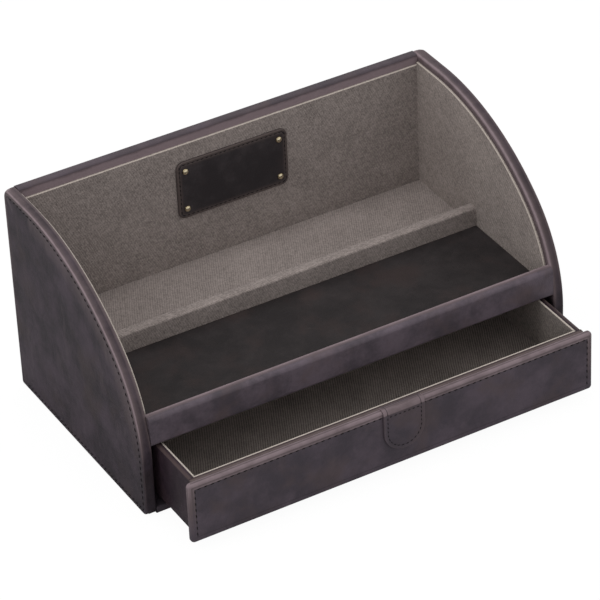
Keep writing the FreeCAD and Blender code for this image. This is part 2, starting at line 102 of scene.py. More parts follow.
class Paint:
    """The node tree of a material or of the world, in the making."""

    def __init__(self, owner):
        owner.use_nodes = True
        self.owner = owner
        self.tree = owner.node_tree
        self.tree.nodes.clear()

    def node(self, kind, settings, sockets, output=0):
        """Add a node: its settings first, then the values or links of its sockets."""
        made = self.tree.nodes.new(kind)
        for name, value in settings.items():
            setattr(made, name, value)
        for name, value in sockets.items():
            if isinstance(value, Value):
                self.tree.links.new(value.socket, made.inputs[name])
            elif isinstance(value, tuple) and made.inputs[name].type == "RGBA":
                made.inputs[name].default_value = (*value, 1.0)
            else:
                made.inputs[name].default_value = value
        return Value(self, made.outputs[output]) if made.outputs else None

    def math(self, operation, *values):
        return self.node("ShaderNodeMath", {"operation": operation}, dict(enumerate(values)))

    def mix(self, share, first, second):
        """A share of the second colour over the first."""
        settings = {"data_type": "RGBA", "clamp_factor": True}
        sockets = {"Factor": share, 6: first, 7: second}
        return self.node("ShaderNodeMix", settings, sockets, output=2)

    def attribute(self, name):
        return self.node("ShaderNodeAttribute", {"attribute_name": name}, {}, output="Fac")

    def place(self):
        """Object coordinates in millimetres, as a vector."""
        metres = self.node("ShaderNodeTexCoord", {}, {}, output="Object")
        sockets = {0: metres, "Scale": 1 / MM}
        return self.node("ShaderNodeVectorMath", {"operation": "SCALE"}, sockets)

    def axes(self, place):
        """The three components of a place."""
        split = self.node("ShaderNodeSeparateXYZ", {}, {0: place}).socket.node
        return [Value(self, out) for out in split.outputs]

    def stretched(self, place, factors):
        """A place with its axes scaled, to stretch a pattern along one of them."""
        sockets = {0: place, 1: factors}
        return self.node("ShaderNodeVectorMath", {"operation": "MULTIPLY"}, sockets)

    def noise(self, place, size, detail=2.0, roughness=0.5, seed=0.0):
        """Noise from 0 to 1 with features of about that size in millimetres."""
        sockets = {"Vector": place, "Scale": 1 / size, "Detail": detail, "Roughness": roughness,
                   "W": seed}
        return self.node("ShaderNodeTexNoise", {"noise_dimensions": "4D"}, sockets)

    def cracks(self, place, size):
        """How far a place is from the edges of cells of about that size, from 0 upwards."""
        sockets = {"Vector": place, "Scale": 1 / size}
        return self.node("ShaderNodeTexVoronoi", {"feature": "DISTANCE_TO_EDGE"}, sockets)

    def bump(self, height):
        """A normal from a height in millimetres."""
        sockets = {"Height": height, "Distance": MM, "Strength": 1.0}
        return self.node("ShaderNodeBump", {}, sockets)

    def finish(self, sockets):
        """Close the tree with a shader that has those sockets, and hand over the material."""
        surface = self.node("ShaderNodeBsdfPrincipled", {}, sockets)
        self.node("ShaderNodeOutputMaterial", {}, {"Surface": surface})
        return self.owner


def new_paint(name):
    return Paint(bpy.data.materials.new(name))


# Painted shade: the near-black that creases and grooves are darkened towards.
CREASE_SHADE = (0.006, 0.005, 0.005)


def leather(name, deep, soft, warm, brown, worn_and_lit, gloss, grain_height=0.035, seed=0.0):
    """Waxed leather, from deep to soft in clouds, with warm stains.

    It turns brown, then pale, along its edges, for wear and painted highlights, and is
    darkened in its creases, a painted shade. The seed picks another cut of the same hide.
    """
    paint = new_paint(name)
    place = paint.place()
    clouds = paint.noise(place, 30, detail=7, roughness=0.7, seed=seed)
    stains = paint.noise(place, 26, detail=4, roughness=0.6, seed=seed + 5)
    drawn_up = paint.stretched(place, (1, 1.8, 0.45))
    smears = paint.noise(drawn_up, 13, detail=4, roughness=0.65, seed=9)
    pores = paint.noise(place, 0.9, detail=3, roughness=0.6, seed=2)
    cells = paint.cracks(place, 1.1)
    wear_and_highlight = paint.attribute("wear_and_highlight")
    crease = paint.attribute("crease")

    rubbed_and_lit = wear_and_highlight * (smears * 1.1 + 0.4)
    scuff = smears.between(0.54, 0.8)
    colour = paint.mix(clouds.between(0.38, 0.64), deep, soft)
    colour = paint.mix(stains.between(0.48, 0.7) * 0.7, colour, warm)
    colour = paint.mix(scuff * 0.12, colour, worn_and_lit)
    # Brown, then pale, along worn edges, with painted highlights on rounded edges too.
    colour = paint.mix(rubbed_and_lit.between(0.05, 0.45) * 0.85, colour, brown)
    colour = paint.mix(rubbed_and_lit.between(0.4, 1.0) * 0.9, colour, worn_and_lit)
    # Painted shade: creases and grooves are darkened.
    colour = paint.mix(crease * 0.4, colour, CREASE_SHADE)
    grain = cells.between(0.0, 0.22) * grain_height + pores * (grain_height * 0.8)
    return paint.finish({
        "Base Color": colour,
        "Roughness": clouds * 0.16 + pores * 0.1 + (gloss - 0.1) - wear_and_highlight * 0.08,
        "Specular IOR Level": 0.18,
        "Normal": paint.bump(grain + clouds * 0.9),
    })


def cloth_surface(paint, colour, height):
    """Matt cloth with a faint sheen, in that colour and relief."""
    return paint.finish({
        "Base Color": colour,
        "Roughness": 0.92,
        "Sheen Weight": 0.15,
        "Sheen Roughness": 0.45,
        "Specular IOR Level": 0.2,
        "Normal": paint.bump(height),
    })


FOLDED_EDGE = (0.50, 0.44, 0.39)


def twill(name, lay, dark, light, ribbed=0.24):
    """Taupe twill of uneven yarn, paler where it is folded.

    lay turns the three axes into the cloth's across and along, and ribbed is how
    strongly its steep ribs show, from 0 to 1.
    """
    paint = new_paint(name)
    place = paint.place()
    across, along = lay(*paint.axes(place))
    slubs = paint.noise(place, 1.7, detail=3, roughness=0.75, seed=4)
    drift = paint.noise(place, 7, detail=2, seed=11)
    patches = paint.noise(place, 21, detail=3, roughness=0.6, seed=1)
    fuzz = paint.noise(place, 0.9, detail=2, roughness=0.7, seed=8)
    waver = (slubs * 1.5 + drift * 2.6) * (1 - ribbed)
    ribs = (across * 0.9 + along * 0.43 + waver).wave(1.4)
    threads = (along * 0.9 - across * 0.43 + waver).wave(1.1)
    weave = ribs * 0.7 + threads * 0.3
    yarn = slubs.between(0.34, 0.66) * 0.55 + fuzz.between(0.34, 0.66) * 0.45
    tone = weave * ribbed + yarn * (1 - ribbed) + (patches - 0.5) * 0.55
    colour = paint.mix(tone, dark, light)
    folded = paint.attribute("wear_and_highlight") * (fuzz + 0.25)
    colour = paint.mix(folded.between(0.1, 0.9), colour, FOLDED_EDGE)
    return cloth_surface(paint, colour, weave * 0.11 + fuzz * 0.1)


def felt(name, dark, light):
    """Short pressed felt."""
    paint = new_paint(name)
    place = paint.place()
    hairs = paint.noise(place, 0.7, detail=5, roughness=0.75)
    matting = paint.noise(place, 6, detail=3, seed=2)
    colour = paint.mix(hairs * 0.6 + matting * 0.4, dark, light)
    return cloth_surface(paint, colour, hairs * 0.25)


def fibreboard(name, pale, brown):
    """Pressed fibreboard with darker chips and cut fibres."""
    paint = new_paint(name)
    place = paint.place()
    fibres = paint.noise(paint.stretched(place, (0.3, 1, 1)), 1.1, detail=5, roughness=0.7)
    chips = paint.noise(place, 4.5, detail=4, roughness=0.7, seed=3)
    return paint.finish({
        "Base Color": paint.mix(fibres.between(0.35, 0.7) * 0.7 + chips * 0.3, pale, brown),
        "Roughness": fibres * 0.2 + 0.7,
        "Normal": paint.bump(fibres * 0.08),
    })


def brass(name, bright, tarnished):
    """Antique brass: bright on the crown, brown where it has tarnished."""
    paint = new_paint(name)
    place = paint.place()
    tarnish = paint.noise(place, 0.9, detail=4, roughness=0.7)
    low = paint.attribute("rim")
    colour = paint.mix((tarnish * 0.7 + low * 0.8).between(0.35, 0.9), bright, tarnished)
    return paint.finish({
        "Base Color": colour,
        "Metallic": 1.0,
        "Roughness": tarnish * 0.22 + 0.16,
        "Normal": paint.bump(tarnish * 0.02),
    })


def waxed_thread(name, dark, light):
    """Thick waxed thread, with its twist."""
    paint = new_paint(name)
    place = paint.place()
    x, y, z = paint.axes(place)
    twist = (x + y + z).wave(0.42)
    fluff = paint.noise(place, 0.4, detail=2)
    colour = paint.mix(twist * 0.6 + fluff * 0.4, dark, light)
    return paint.finish({
        "Base Color": colour,
        "Roughness": 0.6 + fluff * 0.2,
        "Specular IOR Level": 0.15,
        "Normal": paint.bump(twist * 0.04),
    })


# The brown and pale of worn edges, which carry painted highlights on rounded edges too.
BROWN_WEAR_AND_HIGHLIGHT, PALE_WEAR_AND_HIGHLIGHT = (0.105, 0.078, 0.082), (0.235, 0.180, 0.195)
COVER = leather("cover_leather", (0.048, 0.039, 0.049), (0.082, 0.064, 0.080),
                (0.074, 0.054, 0.057), BROWN_WEAR_AND_HIGHLIGHT, PALE_WEAR_AND_HIGHLIGHT, gloss=0.52, seed=230.0)
# Painted shade: the cheeks' leather is a darker copy of the cover leather, from the same hide.
SHADED_SIDE = leather("side_leather", (0.0195, 0.0140, 0.0190), (0.052, 0.038, 0.050),
               (0.040, 0.028, 0.029), BROWN_WEAR_AND_HIGHLIGHT, PALE_WEAR_AND_HIGHLIGHT, gloss=0.56, seed=230.0)
TRAY = leather("tray_leather", (0.018, 0.0105, 0.0155), (0.038, 0.023, 0.032),
               (0.042, 0.026, 0.029), (0.075, 0.052, 0.050), (0.120, 0.090, 0.088), gloss=0.50)
# Painted light: the rail's leather is a lighter copy of the cover leather, as if its upright
# front caught more light from above.
LIT_RAIL = leather("rail_leather", (0.062, 0.051, 0.062), (0.118, 0.093, 0.113),
               (0.100, 0.072, 0.074), (0.120, 0.090, 0.096), PALE_WEAR_AND_HIGHLIGHT, gloss=0.50)
SHELF = leather("shelf_leather", (0.019, 0.016, 0.0165), (0.030, 0.025, 0.0255),
                (0.036, 0.025, 0.024), (0.045, 0.033, 0.031), (0.085, 0.066, 0.062), gloss=0.52)
PATCH = leather("patch_leather", (0.027, 0.023, 0.025), (0.050, 0.042, 0.045),
                (0.046, 0.034, 0.033), (0.060, 0.046, 0.045), (0.085, 0.066, 0.062),
                gloss=0.42, grain_height=0.03)

# Painted light and shade: the side linings' cloth is a lighter copy of the plain cloth, standing
# in for sheen, and the drawer walls' cloth a darker copy, standing in for the shade inside the
# drawer.
CLOTH = (0.134, 0.112, 0.104), (0.360, 0.308, 0.287)
LIT_CLOTH = (0.148, 0.124, 0.114), (0.390, 0.332, 0.304)
SHADED_TRAY_CLOTH = (0.090, 0.076, 0.069), (0.275, 0.236, 0.214)
TRAY_RIBS = (0.050, 0.042, 0.038), (0.345, 0.294, 0.268)
BACK_CLOTH = twill("back_cloth", lambda x, y, z: (x, z + y), *CLOTH)
SIDE_CLOTH = twill("side_cloth", lambda x, y, z: (y, z + x), *LIT_CLOTH)
FLOOR_CLOTH = twill("floor_cloth", lambda x, y, z: (x, z - y), *CLOTH, ribbed=0.45)
TRAY_WALL_CLOTH = twill("tray_wall_cloth", lambda x, y, z: (x + y, z), *SHADED_TRAY_CLOTH)
TRAY_FLOOR_CLOTH = twill("tray_floor_cloth", lambda x, y, z: (x, z - y), *TRAY_RIBS, ribbed=0.7)

FELT = felt("base_felt", (0.018, 0.017, 0.018), (0.05, 0.047, 0.048))
BOARD = fibreboard("fibreboard", (0.44, 0.33, 0.22), (0.27, 0.18, 0.11))
BRASS = brass("antique_brass", (0.84, 0.74, 0.52), (0.26, 0.20, 0.11))
THREAD = waxed_thread("dark_thread", (0.006, 0.005, 0.006), (0.020, 0.017, 0.018))


# ---------------------------------------------------------------- shaping

SAME_PLANE = 0.02 * MM     # closer than this, two planes are one
SAME_POINT = 0.0001 * MM   # closer than this, two points are one
SMOOTH_TO = 50             # degrees up to which an edge is shaded smooth


def block(low, high):
    """A box between two corners, as a mesh to shape."""
    shape = bmesh.new()
    bmesh.ops.create_cube(shape, size=1)
    bmesh.ops.scale(shape, vec=high - low, verts=shape.verts)
    bmesh.ops.translate(shape, vec=(low + high) / 2, verts=shape.verts)
    return shape


def near(value, other):
    return abs(value - other) < SAME_PLANE


def edge_facts(edge):
    """The middle of an edge and its unit direction."""
    first, last = (vert.co for vert in edge.verts)
    return (first + last) / 2, (last - first).normalized()


def round_off(shape, radius, wanted, steps=4):
    """Round the edges that a test picks by their middle and direction."""
    edges = [edge for edge in shape.edges if wanted(*edge_facts(edge))]
    bmesh.ops.bevel(shape, geom=edges, offset=radius, offset_type="OFFSET", segments=steps,
                    profile=0.5, affect="EDGES", clamp_overlap=True, material=-1)


def cut(shape, place, facing, **settings):
    """Cut a shape along the plane through a place."""
    bmesh.ops.bisect_plane(shape, geom=shape.verts[:] + shape.edges[:] + shape.faces[:],
                           plane_co=place, plane_no=facing, **settings)


class Outline:
    """A closed line on a plane, drawn by straight runs and by turns round a centre."""

    def __init__(self, shape, start):
        self.shape = shape
        self.first = self.last = shape.verts.new(start)
        self.verts = [self.first]

    def to(self, place):
        """A straight run."""
        vert = self.shape.verts.new(place)
        self.shape.edges.new((self.last, vert))
        self.verts.append(vert)
        self.last = vert

    def turn(self, centre, axis, degrees, steps):
        """An arc, in that many steps."""
        for _ in range(steps):
            made = bmesh.ops.spin(self.shape, geom=[self.last], cent=centre, axis=axis,
                                  angle=math.radians(degrees / steps), steps=1,
                                  use_duplicate=False)
            verts = [part for part in made["geom_last"] if isinstance(part, bmesh.types.BMVert)]
            self.last = verts[0]
            self.verts.append(self.last)

    def close(self):
        """Join the end to the start. Returns the line's vertices in order."""
        self.shape.edges.new((self.last, self.first))
        return self.verts


def loop_edges(shape, verts):
    return [shape.edges.get(pair) for pair in zip(verts, verts[1:] + verts[:1])]


def skin(shape, rings):
    """Bridge outlines one to the next and close the first and the last."""
    edges = [loop_edges(shape, verts) for verts in rings]
    for one, next_one in zip(edges, edges[1:]):
        bmesh.ops.bridge_loops(shape, edges=one + next_one)
    bmesh.ops.contextual_create(shape, geom=edges[0])
    bmesh.ops.contextual_create(shape, geom=edges[-1])
    bmesh.ops.recalc_face_normals(shape, faces=shape.faces)


# A plate's section is a list of (depth, inset): how far below its face and how far
# inside its outline each ring of it lies.


def flat_rings(sunk, inner=17 * MM, outer=12.5 * MM):
    """The section of a face: two rings keep it flat, and the outer one lies that much deeper."""
    return [(0.0, inner), (sunk, outer)]


def groove(at, width, depth, sunk):
    """The section of a stitching groove, from inside it to outside."""
    return [(depth, at + width / 2), (depth + sunk, at), (depth, at - width / 2)]


def rounding(radius, steps, depth=0.0):
    """The section of a rounded rim, from the face to the side."""
    angles = [math.pi / 2 * step / steps for step in range(steps + 1)]
    return [(depth + radius * (1 - math.cos(angle)), radius * (1 - math.sin(angle)))
            for angle in angles]


def back_rounding(radius, steps, thickness):
    """The section of a rounded rim on the far face, from the side to that face."""
    return [(thickness - depth, inset) for depth, inset in reversed(rounding(radius, steps))]


def line_at(rings, section, wanted):
    """The places along the ring that has that inset."""
    verts = next(verts for verts, (_, inset) in zip(rings, section) if inset == wanted)
    return [vert.co.copy() for vert in verts]


BROAD = 7.5 * MM           # a face wider than this isn't made pale
CREASE_FROM = 6            # degrees bent inwards where a crease starts
CREASE_SPAN = 24           # and degrees from there to its darkest
PALE_FROM = 3               # degrees bent outwards where more wear and painted highlight start
PALE_SPAN = 20
LEAST_PALE = 0.3            # the wear and painted highlight of a vertex that isn't bent


def is_broad(face):
    return face.calc_area() > BROAD * max(edge.calc_length() for edge in face.edges)


def everywhere(place):
    """Rubbed alike all over."""
    return 1.0


def mark_bends(shape, rub_and_highlight):
    """Store how creased each vertex is, for painted shade, and how pale, for wear and painted
    highlight, from its inward and outward bends.

    A vertex on a broad face or in a crease isn't made pale.
    """
    wear_and_highlight = shape.verts.layers.float.new("wear_and_highlight")
    crease = shape.verts.layers.float.new("crease")
    for vert in shape.verts:
        inward = max(-math.degrees(edge.calc_face_angle_signed(0.0)) for edge in vert.link_edges)
        vert[crease] = min(max((inward - CREASE_FROM) / CREASE_SPAN, 0.0), 1.0)
    for vert in shape.verts:
        outward = max(math.degrees(edge.calc_face_angle_signed(0.0)) for edge in vert.link_edges)
        if not vert[crease] and not any(is_broad(face) for face in vert.link_faces):
            bent = max(outward - PALE_FROM, 0.0) / PALE_SPAN
            vert[wear_and_highlight] = rub_and_highlight(vert.co) * min(LEAST_PALE + bent, 1.0)


def piece(shape, name, body, paint, replaced=(), rub_and_highlight=everywhere):
    """Make a finished mesh a piece of the box.

    It rides on a body, if one is given, and stands for the nodes that it replaces.
    """
    bmesh.ops.recalc_face_normals(shape, faces=shape.faces)
    if shape.calc_volume(signed=True) < 0:
        bmesh.ops.reverse_faces(shape, faces=shape.faces)
    mark_bends(shape, rub_and_highlight)
    mesh = bpy.data.meshes.new(name)
    shape.to_mesh(mesh)
    shape.free()
    mesh.shade_smooth()
    mesh.set_sharp_from_angle(angle=math.radians(SMOOTH_TO))
    mesh.materials.append(paint)
    made = bpy.data.objects.new(name, mesh)
    bpy.context.scene.collection.objects.link(made)
    made.modifiers.new("even_shading", "WEIGHTED_NORMAL").keep_sharp = True
    if body:
        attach(made, body)
    if replaced:
        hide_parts(*replaced)
    return made


# ---------------------------------------------------------------- stitching

STITCH_INSET = 3.2 * MM    # stitching groove inside a cheek's outline
STITCH_PITCH = 4.3 * MM
STITCH_LIFT = 0.12 * MM    # middle of a stitch over the leather
STITCH_LEAN = 7            # degrees that a stitch leans out of its row


def spaced(line, pitch, closed=True):
    """Places and directions along a line, about a pitch apart, starting half a pitch in."""
    ends = line[1:] + line[:1] if closed else line[1:]
    spans = [(start, end - start) for start, end in zip(line, ends)]
    spans = [(start, span) for start, span in spans if span.length > SAME_POINT]
    total = sum(span.length for _, span in spans)
    count = max(1, round(total / pitch))
    step = total / count
    travelled, due = 0.0, step / 2
    for start, span in spans:
        while due <= travelled + span.length:
            yield start + span * ((due - travelled) / span.length), span.normalized()
            due += step
        travelled += span.length


def stitches(name, body, places, facing, length=2.4 * MM, width=0.8 * MM):
    """Stitches at places with directions, on leather that faces that way, as one piece."""
    shape = bmesh.new()
    lean = Matrix.Rotation(math.radians(STITCH_LEAN), 3, facing)
    size = Matrix.Diagonal((length / 2, width / 2, width / 2, 1))
    for place, direction in places:
        side = facing.cross(direction).normalized()
        turn = (lean @ Matrix((direction, side, facing)).transposed()).to_4x4()
        seat = Matrix.Translation(place + facing * STITCH_LIFT)
        bmesh.ops.create_uvsphere(shape, u_segments=7, v_segments=5, radius=1,
                                  matrix=seat @ turn @ size)
    piece(shape, name, body, THREAD)


# ---------------------------------------------------------------- the cheeks

BROW_RUN = 131 * MM        # front-to-back length of the cheek's curve
BROW_FOOT = 38 * MM        # height where the curve starts
BROW_NOSE = 87 * MM        # radius of the curve's lower arc
OUTER_ROUND = 1.0 * MM     # outer edge of the rim
INNER_ROUND = 1.2 * MM     # inner edge of the rim
TOE_ROUND = 4.5 * MM
HEEL_ROUND = 2.0 * MM
CROWN_ROUND = 3.5 * MM     # the top corner at the back
CROWN_SOFT = 3 * MM        # how much rounder the top corner is on the outer face
LEAST_ROUND = 0.25 * MM    # a corner's radius once it is drawn smaller than its rounding
PALE_FOOT = 30 * MM         # height from which the rim is paler and paler upwards
PALE_RISE = 35 * MM
PALE_AT_FOOT = 0.15
BORDER_DEEP = 0.15 * MM    # the outer face's border lies less than this below it


def cheek_outline(shape, x, inset, softer=0.0):
    """The cheek from the side, on the plane x, drawn that much smaller and its crown softer."""
    low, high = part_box("left_cheek_leather")
    front, back, foot, top = low.y + inset, high.y - inset, low.z + inset, high.z - inset
    rounds = (TOE_ROUND, HEEL_ROUND, CROWN_ROUND + softer)
    toe, heel, crown = (max(radius - inset, LEAST_ROUND) for radius in rounds)
    nose_radius = BROW_NOSE - inset
    nose = Vector((x, front + nose_radius, BROW_FOOT))
    crest_y = low.y + BROW_RUN
    run, rise = crest_y - front, top - nose.z
    crest_radius = (((run - nose_radius) ** 2 + rise ** 2 - nose_radius ** 2)
                    / (2 * (rise - nose_radius)))
    crest = Vector((x, crest_y, top - crest_radius))
    bend = math.degrees(math.atan2(nose.z - crest.z, nose.y - crest.y)) - 90

    line = Outline(shape, (x, crest_y, top))
    line.turn(crest, ACROSS, bend, 26)
    line.turn(nose, ACROSS, 90 - bend, 26)
    line.to((x, front, foot + toe))
    line.turn((x, front + toe, foot + toe), ACROSS, 90, 6)
    line.to((x, back - heel, foot))
    line.turn((x, back - heel, foot + heel), ACROSS, 90, 4)
    line.to((x, back, top - crown))
    line.turn((x, back - crown, top - crown), ACROSS, 90, 6)
    return line.close()


def cheek_cover(side):
    """A cheek's leather, a darker copy for painted shade, with rounded rims and a stitched groove
    round the outer face.
    """
    low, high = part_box(f"{side}_cheek_leather")
    outward, outer_x = (-1, low.x) if side == "left" else (1, high.x)
    middle_x = (low.x + high.x) / 2
    width = high.x - low.x
    flat_rim = (2.3 * MM, 0.0), (width - 2.4 * MM, 0.0)
    inner_border = (width, 9 * MM)
    section = [*flat_rings(0.03 * MM), *groove(STITCH_INSET, 0.9 * MM, 0.07 * MM, 0.06 * MM),
               *rounding(OUTER_ROUND, 5, 0.04 * MM), *flat_rim,
               *back_rounding(INNER_ROUND, 4, width), inner_border]
    shape = bmesh.new()
    rings = [cheek_outline(shape, outer_x - outward * depth, inset, max(CROWN_SOFT - depth, 0.0))
             for depth, inset in section]
    line = line_at(rings, section, STITCH_INSET)
    skin(shape, rings)

    def rim_and_border(place):
        """Paler over the rim, palest on its left half, where a highlight is painted, and less
        pale towards the foot.
        """
        by_height = min(max((place.z - PALE_FOOT) / PALE_RISE, PALE_AT_FOOT), 1.0)
        on_border = abs(place.x - outer_x) < BORDER_DEEP
        return (1.0 if place.x < middle_x and not on_border else 0.6) * by_height

    piece(shape, f"{side}_cheek_cover", "carcass", SHADED_SIDE,
          [f"{side}_cheek_leather"], rub_and_highlight=rim_and_border)
    heel_y = high.y - 2 * STITCH_INSET
    row = [(place, along) for place, along in spaced(line, STITCH_PITCH) if place.y < heel_y]
    stitches(f"{side}_cheek_stitches", "carcass", row, ACROSS * outward)


cheek_cover("left")
cheek_cover("right")


# ---------------------------------------------------------------- the rest of the carcass

BACK_ROUND = 2.4 * MM      # the back's top edge behind
STRIP_ROUND = 1.5 * MM     # and in front, over the lining
STRIP_RUBBED = 5.5 * MM    # the strip over the lining is rubbed down to here
STRIP_FADED = 8 * MM       # and the rubbing has faded here
RAIL_LAP = 0.05 * MM       # the rail's leather turned over its ends
RAIL_FRONT = 2.6 * MM      # the rail's top edge in front
RAIL_CREST = 1.2 * MM      # and behind
RAIL_FOOT = 1.5 * MM


def back_cover():
    """The back's leather, rubbed along the strip that shows over its lining."""
    low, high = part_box("back_leather")
    shape = block(low, high)
    round_off(shape, BACK_ROUND,
              lambda middle, along: near(middle.y, high.y) and near(middle.z, high.z), steps=5)
    round_off(shape, STRIP_ROUND,
              lambda middle, along: near(middle.y, low.y) and near(middle.z, high.z))
    round_off(shape, HEEL_ROUND,
              lambda middle, along: near(middle.y, high.y) and near(middle.z, low.z))
    cut(shape, high - UP * STRIP_FADED, UP)
    cut(shape, high - UP * STRIP_RUBBED, UP)

    def strip_over_lining(place):
        """Rubbed most at the strip's foot, then over its round edge, and little behind."""
        if not near(place.y, low.y):
            return 0.2
        return 1.7 if place.z < high.z - STRIP_RUBBED + SAME_PLANE else 0.7

    piece(shape, "back_cover", "carcass", COVER, ["back_leather"],
          rub_and_highlight=strip_over_lining)


def front_rail_cover():
    """The rail's leather, a lighter copy for painted light, soft in front and rubbed along its
    top edge behind.
    """
    low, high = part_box("front_rail_leather")
    shape = block(low - ACROSS * RAIL_LAP, high + ACROSS * RAIL_LAP)
    round_off(shape, RAIL_FRONT,
              lambda middle, along: near(middle.z, high.z) and near(middle.y, low.y), steps=6)
    round_off(shape, RAIL_CREST,
              lambda middle, along: near(middle.z, high.z) and near(middle.y, high.y))
    round_off(shape, RAIL_FOOT,
              lambda middle, along: near(middle.y, low.y) and near(middle.z, low.z))

    def crest(place):
        """Rubbed along the top edge behind, and hardly elsewhere."""
        reach = RAIL_CREST + SAME_PLANE
        return 1.0 if place.y > high.y - reach and place.z > high.z - reach else 0.1

    piece(shape, "front_rail_cover", "carcass", LIT_RAIL, ["front_rail_leather"],
          rub_and_highlight=crest)


def base_cover():
    """The leather over the base's front edge."""
    low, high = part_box("base_leather")
    shape = block(low, high)
    round_off(shape, 1.0 * MM,
              lambda middle, along: near(middle.y, low.y) and abs(along.x) > 0.9)
    piece(shape, "base_cover", "carcass", COVER, ["base_leather"],
          rub_and_highlight=lambda place: 0.1)


def shelf_cover():
    """The dark leather on the shelf."""
    low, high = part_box("shelf_leather")
    shape = block(low, high)
    round_off(shape, 0.9 * MM, lambda middle, along: near(middle.z, high.z), steps=3)
    piece(shape, "shelf_cover", "carcass", SHELF, ["shelf_leather"])


back_cover()
front_rail_cover()
base_cover()
shelf_cover()


# ---------------------------------------------------------------- linings

PANEL_ROUND = 0.55 * MM    # cloth folded over the edge of the card


def side_lining(side):
    """A cheek's lining: its outline drawn smaller, ended at the rail, the shelf and the back."""
    low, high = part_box(f"{side}_lining")
    inner_x = high.x if side == "left" else low.x
    bare_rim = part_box("left_cheek_leather")[1].z - high.z
    shape = bmesh.new()
    cheek_outline(shape, low.x, bare_rim)
    bmesh.ops.contextual_create(shape, geom=shape.edges[:])
    for place, outward in ((low, -DEEP), (low, -UP), (high, DEEP)):
        cut(shape, place, outward, clear_outer=True)
    made = bmesh.ops.extrude_face_region(shape, geom=shape.faces[:])
    moved = [part for part in made["geom"] if isinstance(part, bmesh.types.BMVert)]
    bmesh.ops.translate(shape, vec=ACROSS * (high.x - low.x), verts=moved)
    bmesh.ops.recalc_face_normals(shape, faces=shape.faces)

    def shown(middle, along):
        """An edge towards the inside of the box, but not at the floor or in the back corner."""
        return (near(middle.x, inner_x) and middle.z > low.z + PANEL_ROUND
                and middle.y < high.y - MM)

    round_off(shape, PANEL_ROUND, shown, steps=3)
    piece(shape, f"{side}_lining_panel", "carcass", SIDE_CLOTH,
          [f"{side}_lining"])


def back_lining():
    low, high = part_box("back_lining")
    shape = block(low, high)
    round_off(shape, PANEL_ROUND,
              lambda middle, along: near(middle.y, low.y) and near(middle.z, high.z), steps=3)
    piece(shape, "back_lining_panel", "carcass", BACK_CLOTH, ["back_lining"])


def divider_cover():
    """The cloth over the divider, soft along its top."""
    low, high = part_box("divider_cloth")
    shape = block(low, high)
    round_off(shape, 1.5 * MM,
              lambda middle, along: near(middle.z, high.z) and abs(along.x) > 0.9)
    piece(shape, "divider_cover", "carcass", BACK_CLOTH, ["divider_cloth"])


def drawer_lining(wall):
    low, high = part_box(f"drawer_{wall}_lining")
    shape = block(low, high)
    round_off(shape, PANEL_ROUND, lambda middle, along: near(middle.z, high.z), steps=3)
    piece(shape, f"drawer_{wall}_lining_panel", "drawer", TRAY_WALL_CLOTH,
          [f"drawer_{wall}_lining"])


side_lining("left")
side_lining("right")
back_lining()
divider_cover()
for wall in ("left", "right", "front", "back"):
    drawer_lining(wall)


# ---------------------------------------------------------------- the patch and its rivets

PATCH_ROUND = 5 * MM       # corners of the patch
PATCH_EDGE = 0.6 * MM      # its front edges
PATCH_STITCHES = 1.9 * MM  # stitching groove inside its outline
PATCH_PITCH = 3.2 * MM
RIVET = 2.1 * MM           # radius of a head
FLANGE = 0.3 * MM          # upright edge of a head
RIVET_SUNK = 0.1 * MM      # a head pressed into the patch


def plate_outline(shape, low, high, y, inset, corner):
    """A rectangle with round corners, upright on the plane y and drawn that much smaller."""
    corner = max(corner - inset, LEAST_ROUND)
    left, right = low.x + inset, high.x - inset
    foot, top = low.z + inset, high.z - inset
    line = Outline(shape, (left + corner, y, foot))
    for x, z, inwards, upwards in ((right, foot, -1, 1), (right, top, -1, -1),
                                   (left, top, 1, -1), (left, foot, 1, 1)):
        beside, above = x + inwards * corner, z + upwards * corner
        start = Vector((beside, y, z) if inwards * upwards < 0 else (x, y, above))
        if (start - line.last.co).length > SAME_POINT:
            line.to(start)
        line.turn((beside, y, above), -DEEP, 90, 6)
    shape.verts.remove(line.verts.pop())    # the last turn ends on the start
    line.last = line.verts[-1]
    return line.close()


def plate(low, high, section, corner, stitched):
    """An upright plate that faces the front, and the line where its section is stitched."""
    shape = bmesh.new()
    rings = [plate_outline(shape, low, high, low.y + depth, inset, corner)
             for depth, inset in section]
    line = line_at(rings, section, stitched)
    skin(shape, rings)
    return shape, line


def patch():
    """The plain leather patch on the back lining."""
    low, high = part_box("leather_patch")
    back_edge = (high.y - low.y, 0.0)
    section = [*flat_rings(0.05 * MM, inner=5 * MM, outer=3 * MM),
               *groove(PATCH_STITCHES, 0.7 * MM, 0.1 * MM, 0.2 * MM),
               *rounding(PATCH_EDGE, 3, 0.05 * MM), back_edge]
    shape, line = plate(low, high, section, PATCH_ROUND, PATCH_STITCHES)
    piece(shape, "patch", "carcass", PATCH, ["leather_patch"])
    stitches("patch_stitches", "carcass", spaced(line, PATCH_PITCH), -DEEP, length=2.0 * MM)


